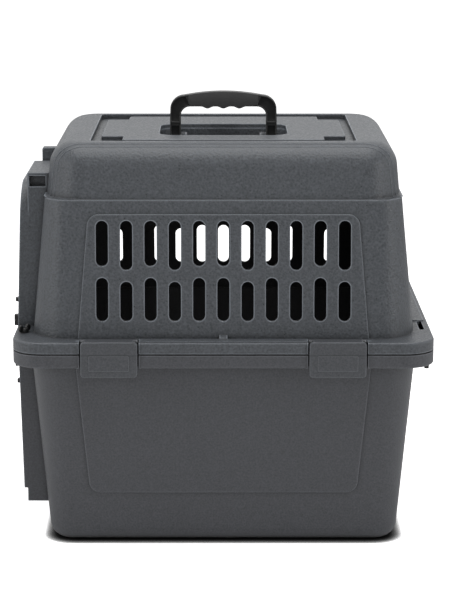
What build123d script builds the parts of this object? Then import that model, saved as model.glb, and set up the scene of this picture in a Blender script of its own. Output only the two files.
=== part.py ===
"""Moulded pet carrier: two drafted shells joined at a flange, a wire door, four side clips
and a folding handle. Millimetres, +Z up, the door end faces -X, and Z is 0 on the floor."""
import math
import os

from build123d import *

os.makedirs("parts", exist_ok=True)

# Shells: plan at the split, heights and walls
rim_length = 482.0
rim_width = 393.0
rim_corner = 52.0
split_height = 255.6
ledge_height = 442.0
roof_height = 509.5
wall = 3.0
floor_thickness = 3.5
roof_thickness = 10.0
upper_draft = 5.6
lower_draft = 5.2
ledge_width = 2.8
ledge_round = 1.2
arch_step = 0.6
arch_half_widths = (156.0, 150.0)
lower_rim_step = 3.0
crown_corner = 50.0
crown_round = 30.0
base_round = 20.0

# Flange round both shells
flange_length = 525.0
flange_width = 438.0
flange_corner = 38.0
upper_flange_height = 14.6
lower_flange_height = 17.0
split_gap = 1.0
flange_web = 3.0
flange_skirt = 3.0
flange_round = 2.6
tongue_thickness = 2.5
tongue_clearance = 0.5

# Raised panels on the walls
panel_proud = 2.0
panel_round = 15.0
panel_edge = 1.2
slot_panel_top = 425.0
slot_panel_top_length = 335.0
slot_panel_foot_length = 364.0
base_panel_foot = 67.0
base_panel_foot_length = 338.0
base_panel_top_length = 372.0
rear_panel_width = 250.0
rear_panel_draw_in = 10.0

# Vent slots
slot_width = 15.0
slot_pitch = 30.0
slot_offset = 4.8
upper_slot_top = 417.0
upper_slot_bottom = 360.8
lower_slot_top = 346.6
lower_slot_bottom = 292.6
near_lower_row = "LSLSLLSLSLS"
far_lower_row = "SLLSLLLSLLS"
rear_lower_row = "LSLSLSL"

# Roof recess, roof panel and handle well
recess_length = 332.0
recess_width = 270.0
recess_depth = 6.5
recess_corner = 8.0
roof_panel_length = 310.0
roof_panel_width = 232.0
roof_panel_drop = 0.8
roof_panel_notch_length = 28.0
roof_panel_notch_width = 34.0
roof_panel_corner = 4.0
roof_panel_edge = 0.8
well_length = 164.0
well_width = 112.0
well_from_middle = 18.0
well_corner = 20.0
well_depth = 20.5
well_wall = 3.0

# Handle
handle_length = 139.0
handle_leg = 14.0
handle_thickness = 15.0
handle_reach = 58.1
handle_grip_depth = 19.5
handle_outer_round = 19.0
handle_inner_round = 12.0
handle_crown = 5.0
handle_edge = 2.2
handle_pivot_depth = 11.0
finger_pitch = 20.7
finger_bump = 2.6
finger_radius = 8.5
handle_foot_radius = 8.0
handle_pin_radius = 2.5
handle_pin_head = 1.4
handle_pin_head_lip = 1.2
handle_panel_depth = 0.8
handle_panel_margin = 2.5
handle_panel_foot = 12.0
handle_panel_corner = 1.5
lug_thickness = 6.0
lug_radius = 4.5
lug_gap = 0.5

# Side clips
clip_centre = 141.2
clip_width = 70.5
clip_drop = 45.0
clip_thickness = 3.0
clip_stand_off = 0.5
clip_corner = 5.0
clip_edge = 1.2
clip_side_gap = 1.6
clip_notch_depth = 16.5
clip_lower_notch_depth = 8.0
clip_barrel_radius = 3.4
clip_pin_radius = 1.5
clip_pin_grip = 4.0
clip_rise = 1.6
clip_hook_gap = 1.2
clip_hook_thickness = 2.4
clip_badge_length = 50.0
clip_badge_height = 20.0
clip_badge_proud = 0.5
boss_wall = 3.0

# Door frame
frame_width = 243.0
frame_top = 453.0
frame_bottom = 54.5
frame_round = 42.0
frame_front = 262.5
frame_upper_lean = 2.1
frame_lower_lean = 1.3
frame_low_corner = 3.0
frame_back = 30.0
post_width = 17.0
post_front_step = 16.0
post_rise = 14.5
post_edge = 2.0
post_window_length = 20.5
post_window_height = 13.5
post_window_depth = 9.0
post_window_margin = 2.5
post_window_drop = 4.0
foot_front_step = 9.0
foot_drop = 17.0
opening_width = 206.0
opening_top = 436.0
opening_bottom = 74.0
opening_top_round = 16.0
opening_bottom_round = 12.0

# Wire door
door_plane = 246.5
door_gap = 6.5
rim_wire_radius = 2.5
bar_wire_radius = 1.7
bar_pitch = 21.0
rail_count = 5
weld_depth = 0.4
hinge_rod_bite = 9.0
running_clearance = 0.08

# Door latch
latch_plane = 253.5
latch_inset = 12.0
latch_middle = 243.0
latch_housing_height = 84.0
latch_housing_width = 20.0
latch_housing_depth = 15.5
latch_housing_wall = 2.5
latch_partition = 2.0
latch_travel = 8.0
latch_end_room = 1.0
latch_block_height = 12.0
latch_spring_room = 8.0
latch_grip_width = 8.0
latch_grip_height = 14.0
latch_grip_offset = 20.0
latch_grip_proud = 8.0
latch_grip_edge = 1.0
latch_fit = 0.4
latch_rod_radius = 2.2
latch_rod_bite = 8.0
latch_keeper_clearance = 1.4
latch_spring_wire = 1.0
latch_guide_size = 8.0
latch_guide_height = 5.0
latch_guide_spread = 54.0
latch_guide_nose = 14.5

# Corner fasteners, tie slots and raised strips of the flange
bolt_from_end = 12.5
bolt_from_side = 59.0
bolt_radius = 2.5
bolt_head_radius = 5.0
bolt_head_height = 3.5
bolt_end = 6.0
nut_radius = 5.5
nut_height = 6.0
wing_reach = 10.0
wing_height = 11.0
wing_thickness = 3.6
wing_foot = 3.0
wing_tip_width = 5.0
wing_turn = 40.0
peg_from_end = 8.5
peg_from_side = 35.0
peg_radius = 3.0
peg_head_radius = 4.6
peg_head_height = 2.0
peg_drop = 7.5
tie_slot_from_end = 11.5
tie_slot_spacing = 240.0
tie_slot_length = 48.0
tie_slot_width = 6.0
centre_lug_width = 10.0
centre_lug_height = 6.0
strip_height = 1.2
strip_from_wall = 4.0
strip_from_edge = 5.0
rear_strip_length = 190.0

# Worked-out places
upper_slope = math.tan(math.radians(upper_draft))
lower_slope = math.tan(math.radians(lower_draft))
upper_flange_bottom = split_height + split_gap / 2
lower_flange_top = split_height - split_gap / 2
flange_top = upper_flange_bottom + upper_flange_height
lower_flange_bottom = lower_flange_top - lower_flange_height
crown_draw_in = (ledge_height - split_height) * upper_slope + ledge_width
pivot_height = roof_height - handle_pivot_depth
well_floor = roof_height - well_depth
flange_face = flange_width / 2
flange_end = flange_length / 2
lower_rim_length = rim_length + 2 * lower_rim_step
bolt_x = flange_end - bolt_from_end
bolt_y = flange_face - bolt_from_side
peg_x = flange_end - peg_from_end
peg_y = flange_face - peg_from_side
tie_slot_x = flange_end - tie_slot_from_end
tie_slot_y = tie_slot_spacing / 2
frame_back_x = rim_length / 2 - frame_back
clip_face = flange_face + clip_stand_off + clip_thickness
clip_top = flange_top + clip_rise
clip_bottom = clip_top - clip_drop
clip_pivot_y = flange_face - clip_notch_depth + clip_barrel_radius + 1.0
clip_pivot_z = clip_top - clip_barrel_radius
rim_half_width = opening_width / 2 - door_gap - rim_wire_radius
door_low = opening_bottom + door_gap + rim_wire_radius
door_high = opening_top - door_gap - rim_wire_radius
hinge_y = rim_half_width
latch_y = -(rim_half_width - latch_inset)
latch_block_offset = latch_partition / 2 + latch_travel + latch_spring_room

NEAR = Plane(origin=(0, 0, 0), x_dir=(1, 0, 0), z_dir=(0, -1, 0))
FRONT = Plane(origin=(0, 0, 0), x_dir=(0, -1, 0), z_dir=(-1, 0, 0))
REAR = Plane(origin=(0, 0, 0), x_dir=(0, 1, 0), z_dir=(1, 0, 0))


def upper_form(inset, roof_drop):
    """The closed form of the upper half, drawn in from its outer faces by inset."""
    with BuildPart() as form:
        with BuildSketch(Plane.XY.offset(split_height)):
            RectangleRounded(rim_length - 2 * inset, rim_width - 2 * inset, rim_corner - inset)
        extrude(amount=ledge_height - split_height - inset, taper=upper_draft)
        crown_foot = ledge_height - inset - 2 * wall
        crown_in = crown_draw_in + inset - (inset + 2 * wall) * upper_slope
        with BuildSketch(Plane.XY.offset(crown_foot)):
            RectangleRounded(rim_length - 2 * crown_in, rim_width - 2 * crown_in, crown_corner - inset)
        extrude(amount=roof_height - roof_drop - crown_foot, taper=upper_draft)
        fillet(form.faces().sort_by(Axis.Z)[-1].edges(), crown_round - inset)
        ledge_level = ledge_height - inset
        fillet(form.edges().filter_by(lambda e: abs(e.center().Z - ledge_level) < 0.01), ledge_round)
    return form.part


def lower_form(inset, floor_lift):
    """The closed form of the lower half, drawn in from its outer faces by inset."""
    with BuildPart() as form:
        with BuildSketch(Plane(origin=(0, 0, split_height), z_dir=(0, 0, -1))):
            RectangleRounded(lower_rim_length - 2 * inset, rim_width - 2 * inset, rim_corner - inset)
        extrude(amount=split_height - floor_lift, taper=lower_draft)
        fillet(form.faces().sort_by(Axis.Z)[0].edges(), base_round - inset)
    return form.part


def flange_plate(low, high, rounded_edge):
    """A full plate of the flange's plan with one outer edge rounded over."""
    with BuildPart() as plate:
        with BuildSketch(Plane.XY.offset(low)):
            RectangleRounded(flange_length, flange_width, flange_corner)
        extrude(amount=high - low)
        fillet(plate.faces().sort_by(Axis.Z)[rounded_edge].edges(), flange_round)
    return plate.part


def arch_band(half_width, inset, roof_drop):
    """A band over the crown from end to end, between the two sides' rounded edges."""
    with BuildPart() as band:
        with Locations((0, 0, (ledge_height + roof_height) / 2 + wall)):
            Box(flange_length, 2 * half_width, roof_height - ledge_height + 2 * wall)
        add(upper_form(inset, roof_drop), mode=Mode.INTERSECT)
    return band.part


def flange_channel(low, high, margin, wall_length):
    """The hollow between the wall and a line that stands in from the flange's edge by margin."""
    with BuildPart() as channel:
        with BuildSketch(Plane.XY.offset(low)):
            RectangleRounded(flange_length - 2 * margin, flange_width - 2 * margin, flange_corner - margin)
            RectangleRounded(wall_length, rim_width, rim_corner, mode=Mode.SUBTRACT)
        extrude(amount=high - low)
    return channel.part


def wall_panel(points, form, plane, both_walls):
    """A raised panel: an outline of a wall cut from a slightly larger form."""
    with BuildPart() as panel:
        with BuildSketch(plane):
            with BuildLine():
                Polyline(*points, close=True)
            make_face()
            free_corners = [v for v in vertices() if abs(v.Y - split_height) > 1.0]
            fillet(free_corners, panel_round)
        extrude(amount=flange_length, both=both_walls)
        add(form, mode=Mode.INTERSECT)
        faces = panel.faces().sort_by(lambda f: f.center().dot(plane.z_dir))
        for face in [faces[-1]] + ([faces[0]] if both_walls else []):
            rim = face.edges().filter_by(lambda e: abs(e.center().Z - split_height) > 1.0)
            fillet(rim, panel_edge)
    return panel.part


def slot_row(pattern, top, bottom, short_end, plane, reach):
    """One row of vent slots; a short slot stands back at its short end by slot_offset."""
    first = -(len(pattern) - 1) / 2 * slot_pitch
    with BuildPart() as row:
        with BuildSketch(plane):
            for index, length_code in enumerate(pattern):
                low = bottom
                high = top
                if length_code == "S" and short_end == "low":
                    low = bottom + slot_offset
                if length_code == "S" and short_end == "high":
                    high = top - slot_offset
                with Locations((first + index * slot_pitch, (low + high) / 2)):
                    SlotOverall(high - low, slot_width, rotation=90)
        extrude(amount=reach)
    return row.part


def complement(pattern):
    """The pattern of the row above: long where this one is short."""
    return "".join("S" if code == "L" else "L" for code in pattern)


def vents(lower_pattern, plane, reach):
    """Both rows of slots in one wall."""
    upper_low = upper_slot_bottom - slot_offset
    upper_row = slot_row(complement(lower_pattern), upper_slot_top, upper_low, "low", plane, reach)
    lower_row = slot_row(lower_pattern, lower_slot_top, lower_slot_bottom, "high", plane, reach)
    return [upper_row, lower_row]


def frame_prism(bottom, top, lean, corner_round, low_end):
    """Half of the door frame: its outline from the front, with a leaning front face."""
    toe = frame_front - abs(top - bottom) * math.tan(math.radians(lean))
    foot_x = toe if low_end else frame_front
    head_x = frame_front if low_end else toe
    with BuildPart() as prism:
        with BuildSketch(Plane(origin=(0, 0, 0), x_dir=(1, 0, 0), z_dir=(0, -1, 0))):
            with BuildLine():
                Polyline((-foot_x, bottom), (-head_x, top), (-frame_back_x, top),
                         (-frame_back_x, bottom), close=True)
            make_face()
        extrude(amount=frame_width / 2, both=True)
        free_height = bottom if low_end else top
        corners = prism.edges().filter_by(lambda e: abs(e.center().Z - free_height) < 0.01)
        corners = corners.filter_by(lambda e: abs(e.center().Y) > frame_width / 2 - 0.01)
        fillet(corners, corner_round)
    return prism.part


def frame_posts(low, high, front_step):
    """The square posts at the frame's ends."""
    post_front = frame_front - front_step
    with BuildPart() as posts:
        for side in (-1, 1):
            with BuildSketch(Plane.XY.offset(low)):
                with Locations((-(post_front + frame_back_x) / 2, side * (frame_width - post_width) / 2)):
                    Rectangle(post_front - frame_back_x, post_width)
            extrude(amount=high - low)
    return posts.part


def post_windows(window_low):
    """Blind windows in the outer sides of the upper posts."""
    window_front = frame_front - post_front_step - post_window_margin
    with BuildPart() as windows:
        for side in (-1, 1):
            with Locations((-window_front + post_window_length / 2,
                            side * (frame_width - post_window_depth) / 2,
                            window_low + post_window_height / 2)):
                Box(post_window_length, post_window_depth, post_window_height)
    return windows.part


def door_opening():
    """The doorway, cut through the frame and the front wall of both shells."""
    with BuildPart() as opening:
        with BuildSketch(FRONT.offset(frame_back_x - frame_back)):
            with Locations((0, (opening_top + opening_bottom) / 2)):
                outline = Rectangle(opening_width, opening_top - opening_bottom)
            upper_corners = outline.vertices().group_by(Axis.Y)[-1]
            lower_corners = outline.vertices().group_by(Axis.Y)[0]
            fillet(upper_corners, opening_top_round)
            fillet(lower_corners, opening_bottom_round)
        extrude(amount=4 * frame_back)
    return opening.part


def rod_sockets():
    """Bores for the door's hinge rod and open-fronted keepers for the latch rods."""
    with BuildPart() as sockets:
        rod_low = opening_bottom - hinge_rod_bite - 1.0
        rod_high = opening_top + hinge_rod_bite + 1.0
        with BuildSketch(Plane.XY.offset(rod_low)):
            with Locations((-door_plane, hinge_y)):
                Circle(rim_wire_radius + running_clearance)
        extrude(amount=rod_high - rod_low)
        keeper_half = latch_rod_radius + latch_keeper_clearance
        keeper_low = opening_bottom - latch_rod_bite - 1.0
        keeper_high = opening_top + latch_rod_bite + 1.0
        with BuildSketch(Plane.XY.offset(keeper_low)):
            with Locations((-latch_plane, latch_y)):
                Circle(keeper_half)
            with Locations((-latch_plane - 10, latch_y)):
                Rectangle(20, 2 * keeper_half)
        extrude(amount=keeper_high - keeper_low)
    return sockets.part


def clip_places():
    """The middle of each clip and the side of the carrier that it is on."""
    return [(x, side) for side in (-1, 1) for x in (-clip_centre, clip_centre)]


def clip_notches(low, high, depth):
    """Notches in a flange that the clips sit in."""
    with BuildPart() as notches:
        for x, side in clip_places():
            with BuildSketch(Plane.XY.offset(low)):
                with Locations((x, side * (flange_face - depth / 2 + 5))):
                    Rectangle(clip_width + 2 * clip_side_gap, depth + 10)
            extrude(amount=high - low)
    return notches.part


def vertical_bores(places, radius, low, high):
    """Round through holes in the flanges."""
    with BuildPart() as bores:
        with BuildSketch(Plane.XY.offset(low)):
            with Locations(*places):
                Circle(radius)
        extrude(amount=high - low)
    return bores.part


bolt_places = [(-bolt_x, -bolt_y), (-bolt_x, bolt_y)]
peg_places = [(peg_x, -peg_y), (peg_x, peg_y)]
low_cut = lower_flange_bottom - 5
high_cut = flange_top + 5

# Upper shell
slot_panel_points = [
    (-slot_panel_foot_length / 2, split_height),
    (-slot_panel_top_length / 2, slot_panel_top),
    (slot_panel_top_length / 2, slot_panel_top),
    (slot_panel_foot_length / 2, split_height),
]
rear_panel_points = [
    (-rear_panel_width / 2, split_height),
    (-rear_panel_width / 2 + rear_panel_draw_in, slot_panel_top),
    (rear_panel_width / 2 - rear_panel_draw_in, slot_panel_top),
    (rear_panel_width / 2, split_height),
]
proud_upper = upper_form(-panel_proud, 0)
with BuildPart() as upper_shell:
    add(upper_form(0, len(arch_half_widths) * arch_step))
    for count, half_width in enumerate(arch_half_widths, start=1):
        band_drop = (len(arch_half_widths) - count) * arch_step
        add(arch_band(half_width, -count * arch_step, band_drop))
    add(flange_plate(upper_flange_bottom, flange_top, -1))
    add(wall_panel(slot_panel_points, proud_upper, NEAR, True))
    add(wall_panel(rear_panel_points, proud_upper, REAR, False))
    add(frame_prism(upper_flange_bottom, frame_top, frame_upper_lean, frame_round, False))
    post_top = frame_top + post_rise
    add(frame_posts(upper_flange_bottom, post_top, post_front_step))
    post_tops = upper_shell.edges().filter_by(Axis.Y)
    post_tops = post_tops.filter_by(lambda e: abs(e.center().Z - post_top) < 0.01)
    fillet(post_tops, post_edge)
    add(post_windows(post_top - post_window_height - post_window_drop), mode=Mode.SUBTRACT)
    with BuildSketch(Plane.XY.offset(upper_flange_bottom - 1)):
        Rectangle(flange_length * 2, flange_width * 2)
    extrude(amount=-50, mode=Mode.SUBTRACT)
    add(upper_form(wall, roof_thickness), mode=Mode.SUBTRACT)
    with BuildSketch(Plane.XY.offset(split_height - 1)):
        RectangleRounded(rim_length - 2 * wall, rim_width - 2 * wall, rim_corner - wall)
    extrude(amount=2, mode=Mode.SUBTRACT)
    channel_top = flange_top - flange_web
    add(flange_channel(split_height - 1, channel_top, flange_skirt, rim_length), mode=Mode.SUBTRACT)
    for x, side in clip_places():
        for end in (-1, 1):
            boss_x = x + end * (clip_width / 2 + clip_side_gap + (clip_pin_grip + boss_wall) / 2)
            boss_depth = clip_notch_depth + 2
            with Locations((boss_x, side * (flange_face - boss_depth / 2 - 0.5),
                            (upper_flange_bottom + flange_top - 1) / 2)):
                Box(clip_pin_grip + boss_wall, boss_depth, upper_flange_height - 1)
        with Locations((x, side * (flange_face - clip_notch_depth - boss_wall / 2),
                        (upper_flange_bottom + flange_top - 1) / 2)):
            Box(clip_width + 2 * (clip_side_gap + boss_wall), boss_wall, upper_flange_height - 1)
    lug_depth = (flange_width - rim_width) / 2
    strip_reach = lug_depth - strip_from_wall - strip_from_edge
    strip_length = 2 * (clip_centre - clip_width / 2 - clip_side_gap)
    strip_middle = flange_top + strip_height / 2 - strip_height / 4
    rear_strip_depth = flange_end - rim_length / 2 - strip_from_edge
    with Locations((rim_length / 2 + rear_strip_depth / 2, 0, strip_middle)):
        Box(rear_strip_depth, rear_strip_length, 1.5 * strip_height)
    for side in (-1, 1):
        strip_y = side * (flange_face - strip_from_edge - strip_reach / 2)
        with Locations((0, strip_y, strip_middle)):
            Box(strip_length, strip_reach, 1.5 * strip_height)
    add(clip_notches(split_height - 1, high_cut, clip_notch_depth), mode=Mode.SUBTRACT)
    for x, side in clip_places():
        pin_half = clip_width / 2 + clip_side_gap + clip_pin_grip
        with BuildSketch(Plane.YZ.offset(x - pin_half)):
            with Locations((side * clip_pivot_y, clip_pivot_z)):
                Circle(clip_pin_radius)
        extrude(amount=2 * pin_half, mode=Mode.SUBTRACT)
    for side in (-1, 1):
        with BuildSketch(Plane.YZ.offset(-centre_lug_width / 2)):
            with BuildLine():
                Polyline((side * (rim_width / 2 - 2), flange_top - 1),
                         (side * (rim_width / 2 - 2), flange_top + centre_lug_height),
                         (side * (rim_width / 2 + lug_depth * 0.3), flange_top + centre_lug_height * 0.5),
                         (side * (rim_width / 2 + lug_depth * 0.4), flange_top - 1), close=True)
            make_face()
        extrude(amount=centre_lug_width)
    with BuildSketch(Plane.XY.offset(roof_height - recess_depth)):
        RectangleRounded(recess_length, recess_width, recess_corner)
    extrude(amount=recess_depth + 1, mode=Mode.SUBTRACT)
    with BuildSketch(Plane.XY.offset(well_floor - well_wall)):
        with Locations((0, -well_from_middle)):
            RectangleRounded(well_length + 2 * well_wall, well_width + 2 * well_wall, well_corner + well_wall)
    extrude(amount=well_depth + well_wall - recess_depth)
    with BuildSketch(Plane.XY.offset(well_floor)):
        with Locations((0, -well_from_middle)):
            RectangleRounded(well_length, well_width, well_corner)
    extrude(amount=well_depth + 1, mode=Mode.SUBTRACT)
    lug_x = handle_length / 2 - handle_leg - lug_gap - lug_thickness
    for side in (-1, 1):
        with BuildSketch(Plane.YZ.offset(side * (lug_x + lug_thickness / 2))):
            with Locations((0, pivot_height)):
                Circle(lug_radius)
            with Locations((0, (pivot_height + well_floor - 1) / 2)):
                Rectangle(2 * lug_radius, pivot_height - well_floor + 1)
            with Locations((0, pivot_height)):
                Circle(handle_pin_radius, mode=Mode.SUBTRACT)
        extrude(amount=lug_thickness / 2, both=True)
    add(vents(near_lower_row, NEAR.offset(rim_width / 2 - 60), 80), mode=Mode.SUBTRACT)
    add(vents(far_lower_row, NEAR.offset(-rim_width / 2 - 20), 80), mode=Mode.SUBTRACT)
    add(vents(rear_lower_row, FRONT.offset(-rim_length / 2 - 20), 80), mode=Mode.SUBTRACT)
    add(door_opening(), mode=Mode.SUBTRACT)
    add(rod_sockets(), mode=Mode.SUBTRACT)
    add(vertical_bores(bolt_places, bolt_radius, low_cut, high_cut), mode=Mode.SUBTRACT)
    with BuildSketch(Plane.XY.offset(low_cut)):
        with Locations((tie_slot_x, -tie_slot_y), (tie_slot_x, tie_slot_y)):
            SlotOverall(tie_slot_length, tie_slot_width, rotation=90)
    extrude(amount=high_cut - low_cut, mode=Mode.SUBTRACT)
upper_shell.part.label = "upper_shell"
export_step(upper_shell.part, "parts/upper_shell.step")

# Lower shell
base_panel_points = [
    (-base_panel_top_length / 2, split_height),
    (-base_panel_foot_length / 2, base_panel_foot),
    (base_panel_foot_length / 2, base_panel_foot),
    (base_panel_top_length / 2, split_height),
]
rear_base_points = [
    (-rear_panel_width / 2, split_height),
    (-rear_panel_width / 2 + rear_panel_draw_in, base_panel_foot),
    (rear_panel_width / 2 - rear_panel_draw_in, base_panel_foot),
    (rear_panel_width / 2, split_height),
]
proud_lower = lower_form(-panel_proud, 0)
with BuildPart() as lower_shell:
    add(lower_form(0, 0))
    add(flange_plate(lower_flange_bottom, lower_flange_top, 0))
    add(wall_panel(base_panel_points, proud_lower, NEAR, True))
    add(wall_panel(rear_base_points, proud_lower, REAR, False))
    add(frame_prism(frame_bottom, lower_flange_top, frame_lower_lean, frame_low_corner, True))
    add(frame_posts(frame_bottom - foot_drop, lower_flange_top, foot_front_step))
    with BuildSketch(Plane.XY.offset(lower_flange_top)):
        Rectangle(flange_length * 2, flange_width * 2)
    extrude(amount=50, mode=Mode.SUBTRACT)
    add(lower_form(wall, floor_thickness), mode=Mode.SUBTRACT)
    lower_channel_top = lower_flange_top - flange_web
    add(flange_channel(low_cut, lower_channel_top, flange_skirt, lower_rim_length), mode=Mode.SUBTRACT)
    for x, side in clip_places():
        with Locations((x, side * (flange_face - clip_lower_notch_depth - boss_wall / 2),
                        (lower_flange_bottom + lower_flange_top - 1) / 2)):
            Box(clip_width + 2 * (clip_side_gap + boss_wall), boss_wall, lower_flange_height - 1)
        for end in (-1, 1):
            with Locations((x + end * (clip_width / 2 + clip_side_gap + boss_wall / 2),
                            side * (flange_face - (clip_lower_notch_depth + boss_wall + 0.5) / 2 - 0.25),
                            (lower_flange_bottom + lower_flange_top - 1) / 2)):
                Box(boss_wall, clip_lower_notch_depth + boss_wall - 0.5, lower_flange_height - 1)
    add(clip_notches(low_cut, high_cut, clip_lower_notch_depth), mode=Mode.SUBTRACT)
    tongue_in = flange_skirt + tongue_clearance
    with BuildSketch(Plane.XY.offset(lower_flange_top - 1)):
        RectangleRounded(flange_length - 2 * tongue_in, flange_width - 2 * tongue_in,
                         flange_corner - tongue_in)
        tongue_line = tongue_in + tongue_thickness
        RectangleRounded(flange_length - 2 * tongue_line, flange_width - 2 * tongue_line,
                         flange_corner - tongue_line, mode=Mode.SUBTRACT)
        for x, side in clip_places():
            with Locations((x, side * flange_face)):
                Rectangle(clip_width + 2 * (clip_side_gap + clip_pin_grip + boss_wall) + 4, 60,
                          mode=Mode.SUBTRACT)
        with Locations((-flange_end, 0)):
            Rectangle(60, frame_width + 6, mode=Mode.SUBTRACT)
        with Locations(*peg_places):
            Circle(peg_head_radius + 1, mode=Mode.SUBTRACT)
        with Locations((tie_slot_x, -tie_slot_y), (tie_slot_x, tie_slot_y)):
            Rectangle(20, tie_slot_length + 4, mode=Mode.SUBTRACT)
    extrude(amount=channel_top - lower_flange_top + 1)
    add(door_opening(), mode=Mode.SUBTRACT)
    add(rod_sockets(), mode=Mode.SUBTRACT)
    add(vertical_bores(bolt_places, bolt_radius, low_cut, high_cut), mode=Mode.SUBTRACT)
    add(vertical_bores(peg_places, peg_radius, low_cut, high_cut), mode=Mode.SUBTRACT)
    with BuildSketch(Plane.XY.offset(low_cut)):
        with Locations((tie_slot_x, -tie_slot_y), (tie_slot_x, tie_slot_y)):
            SlotOverall(tie_slot_length, tie_slot_width, rotation=90)
    extrude(amount=high_cut - low_cut, mode=Mode.SUBTRACT)
lower_shell.part.label = "lower_shell"
export_step(lower_shell.part, "parts/lower_shell.step")

# Roof panel, with its four corners cut out and a window round the handle well
with BuildPart() as roof_panel:
    with BuildSketch(Plane.XY.offset(roof_height - recess_depth)):
        Rectangle(roof_panel_length, roof_panel_width)
        notch_x = (roof_panel_length - roof_panel_notch_length) / 2
        notch_y = (roof_panel_width - roof_panel_notch_width) / 2
        with Locations((-notch_x, -notch_y), (-notch_x, notch_y), (notch_x, -notch_y), (notch_x, notch_y)):
            Rectangle(roof_panel_notch_length, roof_panel_notch_width, mode=Mode.SUBTRACT)
        fillet(vertices(), roof_panel_corner)
        with Locations((0, -well_from_middle)):
            RectangleRounded(well_length, well_width, well_corner, mode=Mode.SUBTRACT)
    extrude(amount=recess_depth - roof_panel_drop)
    chamfer(roof_panel.faces().sort_by(Axis.Z)[-1].outer_wire().edges(), roof_panel_edge)
roof_panel.part.label = "roof_panel"
export_step(roof_panel.part, "parts/roof_panel.step")

# Handle: a bail with finger grooves under its grip
grip_under = pivot_height + handle_reach - handle_grip_depth
handle_inner = handle_length / 2 - handle_leg
shoulder = pivot_height + handle_reach - handle_crown
with BuildPart() as handle:
    with BuildSketch(NEAR):
        with BuildLine():
            Polyline((-handle_length / 2, shoulder), (-handle_length / 2, pivot_height),
                     (handle_length / 2, pivot_height), (handle_length / 2, shoulder))
            ThreePointArc((handle_length / 2, shoulder), (0, pivot_height + handle_reach),
                          (-handle_length / 2, shoulder))
        make_face()
        fillet(vertices().group_by(Axis.Y)[-1], handle_outer_round)
    extrude(amount=handle_thickness / 2, both=True)
    with BuildSketch(NEAR):
        with Locations((0, pivot_height)):
            RectangleRounded(2 * handle_inner, 2 * (grip_under - pivot_height), handle_inner_round)
    extrude(amount=handle_thickness, both=True, mode=Mode.SUBTRACT)
    with BuildSketch(NEAR):
        with Locations(*[(n * finger_pitch, grip_under + finger_radius - finger_bump) for n in (-1, 0, 1)]):
            Circle(finger_radius)
    extrude(amount=handle_thickness / 2, both=True)
    long_faces = handle.faces().filter_by(Axis.Y)
    fillet(long_faces.edges(), handle_edge)
    for side in (-1, 1):
        with BuildSketch(Plane.YZ.offset(side * (handle_inner + handle_leg / 2))):
            with Locations((0, pivot_height)):
                Circle(handle_foot_radius)
        extrude(amount=handle_leg / 2, both=True)
    leg_middle = handle_inner + handle_leg / 2
    leg_panel_foot = pivot_height + handle_panel_foot
    leg_panel_top = shoulder - handle_outer_round * 0.6
    for face_side in (-1, 1):
        with BuildSketch(NEAR.offset(face_side * handle_thickness / 2)):
            with Locations(*[(side * leg_middle, (leg_panel_foot + leg_panel_top) / 2) for side in (-1, 1)]):
                RectangleRounded(handle_leg - 2 * handle_panel_margin, leg_panel_top - leg_panel_foot,
                                 handle_panel_corner)
        extrude(amount=-face_side * handle_panel_depth, mode=Mode.SUBTRACT)
    with BuildSketch(Plane.YZ.offset(-handle_length)):
        with Locations((0, pivot_height)):
            Circle(handle_pin_radius + running_clearance)
    extrude(amount=2 * handle_length, mode=Mode.SUBTRACT)
handle.part.label = "handle"
export_step(handle.part, "parts/handle.step")

# Handle pins, one through each foot and the lug beside it, with its head on the lug
with BuildPart() as handle_pins:
    for side in (-1, 1):
        head_x = handle_inner - lug_gap - lug_thickness
        with BuildSketch(Plane.YZ.offset(side * head_x)):
            with Locations((0, pivot_height)):
                Circle(handle_pin_radius)
        extrude(amount=side * (handle_leg + lug_gap + lug_thickness))
        with BuildSketch(Plane.YZ.offset(side * head_x)):
            with Locations((0, pivot_height)):
                Circle(handle_pin_radius + handle_pin_head_lip)
        extrude(amount=-side * handle_pin_head)
handle_pins.part.label = "handle_pins"
export_step(handle_pins.part, "parts/handle_pins.step")


def side_clip(x, side):
    """A clip that hangs over both flanges from its pin and hooks under the lower one."""
    face_y = side * clip_face
    back_y = side * (clip_face - clip_thickness)
    hook_reach = clip_face - (flange_face - clip_lower_notch_depth) + 2.2
    hook_top = lower_flange_bottom - clip_hook_gap
    facing = Plane(origin=(x, face_y, 0), x_dir=(-side, 0, 0), z_dir=(0, side, 0))
    with BuildPart() as clip:
        with BuildSketch(facing):
            with Locations((0, (clip_top + clip_bottom) / 2)):
                RectangleRounded(clip_width, clip_drop, clip_corner)
        extrude(amount=-clip_thickness)
        edges = clip.faces().sort_by(Axis.Y)[-1 if side > 0 else 0].edges()
        fillet(edges, clip_edge)
        inner_y = clip_pivot_y
        with Locations((x, side * (clip_face - clip_thickness + inner_y) / 2, clip_top - clip_thickness / 2)):
            Box(clip_width - 2 * clip_corner, clip_face - clip_thickness - inner_y + 1.0, clip_thickness)
        with BuildSketch(Plane.YZ.offset(x - clip_width / 2)):
            with Locations((side * clip_pivot_y, clip_pivot_z)):
                Circle(clip_barrel_radius)
        extrude(amount=clip_width)
        with Locations((x, side * (clip_face - hook_reach / 2), hook_top - clip_hook_thickness / 2)):
            Box(clip_width - 2 * clip_corner, hook_reach, clip_hook_thickness)
        with BuildSketch(facing):
            with Locations((0, clip_bottom + clip_badge_height / 2 + 8)):
                RectangleRounded(clip_badge_length, clip_badge_height, 2)
        extrude(amount=clip_badge_proud)
        with BuildSketch(Plane.YZ.offset(x - clip_width)):
            with Locations((side * clip_pivot_y, clip_pivot_z)):
                Circle(clip_pin_radius + running_clearance)
        extrude(amount=2 * clip_width, mode=Mode.SUBTRACT)
    return clip.part


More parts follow.
